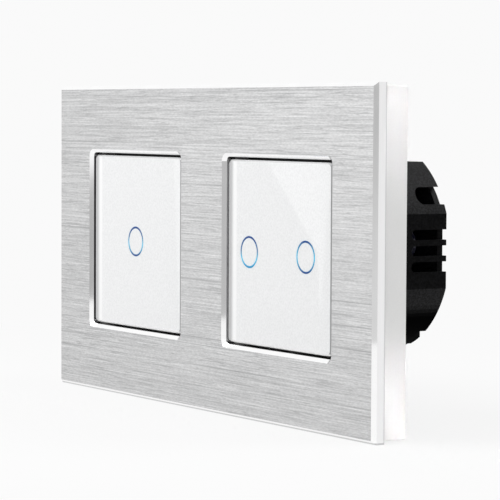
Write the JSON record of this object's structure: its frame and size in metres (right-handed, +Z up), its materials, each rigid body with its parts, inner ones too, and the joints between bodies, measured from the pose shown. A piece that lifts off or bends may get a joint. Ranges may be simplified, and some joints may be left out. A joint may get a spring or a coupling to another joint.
{
  "type": "touch light switch",
  "caption": "Double touch light switch: brushed aluminium frame, white glass touch panels with lit rings, and round black rear housings for wall boxes.",
  "frame": {"origin": "centre of the double frame on the wall face, at the middle of the four upper and lower box screws", "axes": "+X to the right, +Z up, +Y into the wall, so the front faces -Y"},
  "size_m": [0.157, 0.035, 0.086],
  "materials": {
    "brushed_aluminium": "brushed along its length, polished bevels",
    "white_plastic": "smooth semi-gloss",
    "white_glass": "white backed glass with polished edges and lit blue rings",
    "black_tray": "matte",
    "clear_guide": "clear, lit blue",
    "lamp_chips": "small lamp chips",
    "spring_steel": "bright drawn wire",
    "circuit_board": "solder resist",
    "black_plastic": "finely textured",
    "yoke_steel": "zinc plated",
    "screw_steel": "plated",
    "relay_plastic": "smooth",
    "coil_winding": "varnished winding",
    "relay_iron": "plated iron",
    "capacitor_sleeve": "shrink sleeve",
    "terminal_plastic": "moulded",
    "terminal_brass": "plain"
  },
  "bodies": {
    "modules": {"left_glass_panel": "white_glass", "left_insert_tray": "black_tray", "left_light_guide": "clear_guide", "left_touch_spring": "spring_steel", "left_leds": "lamp_chips", "left_touch_board": "circuit_board", "left_cradle": "black_plastic", "left_yoke": "yoke_steel", "left_rear_housing": "black_plastic", "left_housing_screws": "screw_steel", "left_power_board": "circuit_board", "left_pin_header": "black_plastic", "left_capacitor": "capacitor_sleeve", "left_terminal_block": "terminal_plastic", "left_terminal_bars": "terminal_brass", "left_relay_cover": "relay_plastic", "left_relay_coil": "coil_winding", "left_relay_frame": "relay_iron", "right_glass_panel": "white_glass", "right_insert_tray": "black_tray", "right_light_guide_1": "clear_guide", "right_touch_spring_1": "spring_steel", "right_light_guide_2": "clear_guide", "right_touch_spring_2": "spring_steel", "right_leds": "lamp_chips", "right_touch_board": "circuit_board", "right_cradle": "black_plastic", "right_yoke": "yoke_steel", "right_rear_housing": "black_plastic", "right_housing_screws": "screw_steel", "right_power_board": "circuit_board", "right_pin_header": "black_plastic", "right_capacitor": "capacitor_sleeve", "right_terminal_block": "terminal_plastic", "right_terminal_bars": "terminal_brass", "right_relay_cover_1": "relay_plastic", "right_relay_coil_1": "coil_winding", "right_relay_frame_1": "relay_iron", "right_relay_cover_2": "relay_plastic", "right_relay_coil_2": "coil_winding", "right_relay_frame_2": "relay_iron"},
    "frame": {"face_plate": "brushed_aluminium", "base_frame": "white_plastic"},
    "left_armature": {"left_relay_armature": "relay_iron"},
    "left_screw_1": {"left_terminal_screw_1": "screw_steel"},
    "left_cage_1": {"left_clamp_cage_1": "terminal_brass"},
    "left_screw_2": {"left_terminal_screw_2": "screw_steel"},
    "left_cage_2": {"left_clamp_cage_2": "terminal_brass"},
    "left_screw_3": {"left_terminal_screw_3": "screw_steel"},
    "left_cage_3": {"left_clamp_cage_3": "terminal_brass"},
    "right_armature_1": {"right_relay_armature_1": "relay_iron"},
    "right_armature_2": {"right_relay_armature_2": "relay_iron"},
    "right_screw_1": {"right_terminal_screw_1": "screw_steel"},
    "right_cage_1": {"right_clamp_cage_1": "terminal_brass"},
    "right_screw_2": {"right_terminal_screw_2": "screw_steel"},
    "right_cage_2": {"right_clamp_cage_2": "terminal_brass"},
    "right_screw_3": {"right_terminal_screw_3": "screw_steel"},
    "right_cage_3": {"right_clamp_cage_3": "terminal_brass"}
  },
  "joints": [
    {"name": "frame_lift", "type": "slide", "parent": "modules", "child": "frame", "axis": [0, -1, 0], "range_m": [0, 0.014]},
    {"name": "left_armature_tilt", "type": "hinge", "parent": "modules", "child": "left_armature", "pos_m": [-0.0409, 0.0176, 0.01345], "axis": [-1, 0, 0], "range_deg": [0, 3], "stiffness_Nm_per_rad": 0.001, "springref_deg": -11.46},
    {"name": "left_screw_turn_1", "type": "hinge", "parent": "modules", "child": "left_screw_1", "pos_m": [-0.0435, 0.02, -0.0148], "axis": [0, -1, 0], "range_deg": [0, 1730]},
    {"name": "left_cage_rise_1", "type": "slide", "parent": "modules", "child": "left_cage_1", "axis": [0, 1, 0], "range_m": [0, 0.0024]},
    {"name": "left_screw_turn_2", "type": "hinge", "parent": "modules", "child": "left_screw_2", "pos_m": [-0.0355, 0.02, -0.0148], "axis": [0, -1, 0], "range_deg": [0, 1730]},
    {"name": "left_cage_rise_2", "type": "slide", "parent": "modules", "child": "left_cage_2", "axis": [0, 1, 0], "range_m": [0, 0.0024]},
    {"name": "left_screw_turn_3", "type": "hinge", "parent": "modules", "child": "left_screw_3", "pos_m": [-0.0275, 0.02, -0.0148], "axis": [0, -1, 0], "range_deg": [0, 1730]},
    {"name": "left_cage_rise_3", "type": "slide", "parent": "modules", "child": "left_cage_3", "axis": [0, 1, 0], "range_m": [0, 0.0024]},
    {"name": "right_armature_tilt_1", "type": "hinge", "parent": "modules", "child": "right_armature_1", "pos_m": [0.0301, 0.0176, 0.01345], "axis": [-1, 0, 0], "range_deg": [0, 3], "stiffness_Nm_per_rad": 0.001, "springref_deg": -11.46},
    {"name": "right_armature_tilt_2", "type": "hinge", "parent": "modules", "child": "right_armature_2", "pos_m": [0.0409, 0.0176, 0.01345], "axis": [-1, 0, 0], "range_deg": [0, 3], "stiffness_Nm_per_rad": 0.001, "springref_deg": -11.46},
    {"name": "right_screw_turn_1", "type": "hinge", "parent": "modules", "child": "right_screw_1", "pos_m": [0.0275, 0.02, -0.0148], "axis": [0, -1, 0], "range_deg": [0, 1730]},
    {"name": "right_cage_rise_1", "type": "slide", "parent": "modules", "child": "right_cage_1", "axis": [0, 1, 0], "range_m": [0, 0.0024]},
    {"name": "right_screw_turn_2", "type": "hinge", "parent": "modules", "child": "right_screw_2", "pos_m": [0.0355, 0.02, -0.0148], "axis": [0, -1, 0], "range_deg": [0, 1730]},
    {"name": "right_cage_rise_2", "type": "slide", "parent": "modules", "child": "right_cage_2", "axis": [0, 1, 0], "range_m": [0, 0.0024]},
    {"name": "right_screw_turn_3", "type": "hinge", "parent": "modules", "child": "right_screw_3", "pos_m": [0.0435, 0.02, -0.0148], "axis": [0, -1, 0], "range_deg": [0, 1730]},
    {"name": "right_cage_rise_3", "type": "slide", "parent": "modules", "child": "right_cage_3", "axis": [0, 1, 0], "range_m": [0, 0.0024]}
  ],
  "couplings": [
    {"joint": "left_screw_turn_1", "follows": "left_cage_rise_1", "rad_per_m": 12566},
    {"joint": "left_screw_turn_2", "follows": "left_cage_rise_2", "rad_per_m": 12566},
    {"joint": "left_screw_turn_3", "follows": "left_cage_rise_3", "rad_per_m": 12566},
    {"joint": "right_screw_turn_1", "follows": "right_cage_rise_1", "rad_per_m": 12566},
    {"joint": "right_screw_turn_2", "follows": "right_cage_rise_2", "rad_per_m": 12566},
    {"joint": "right_screw_turn_3", "follows": "right_cage_rise_3", "rad_per_m": 12566}
  ]
}
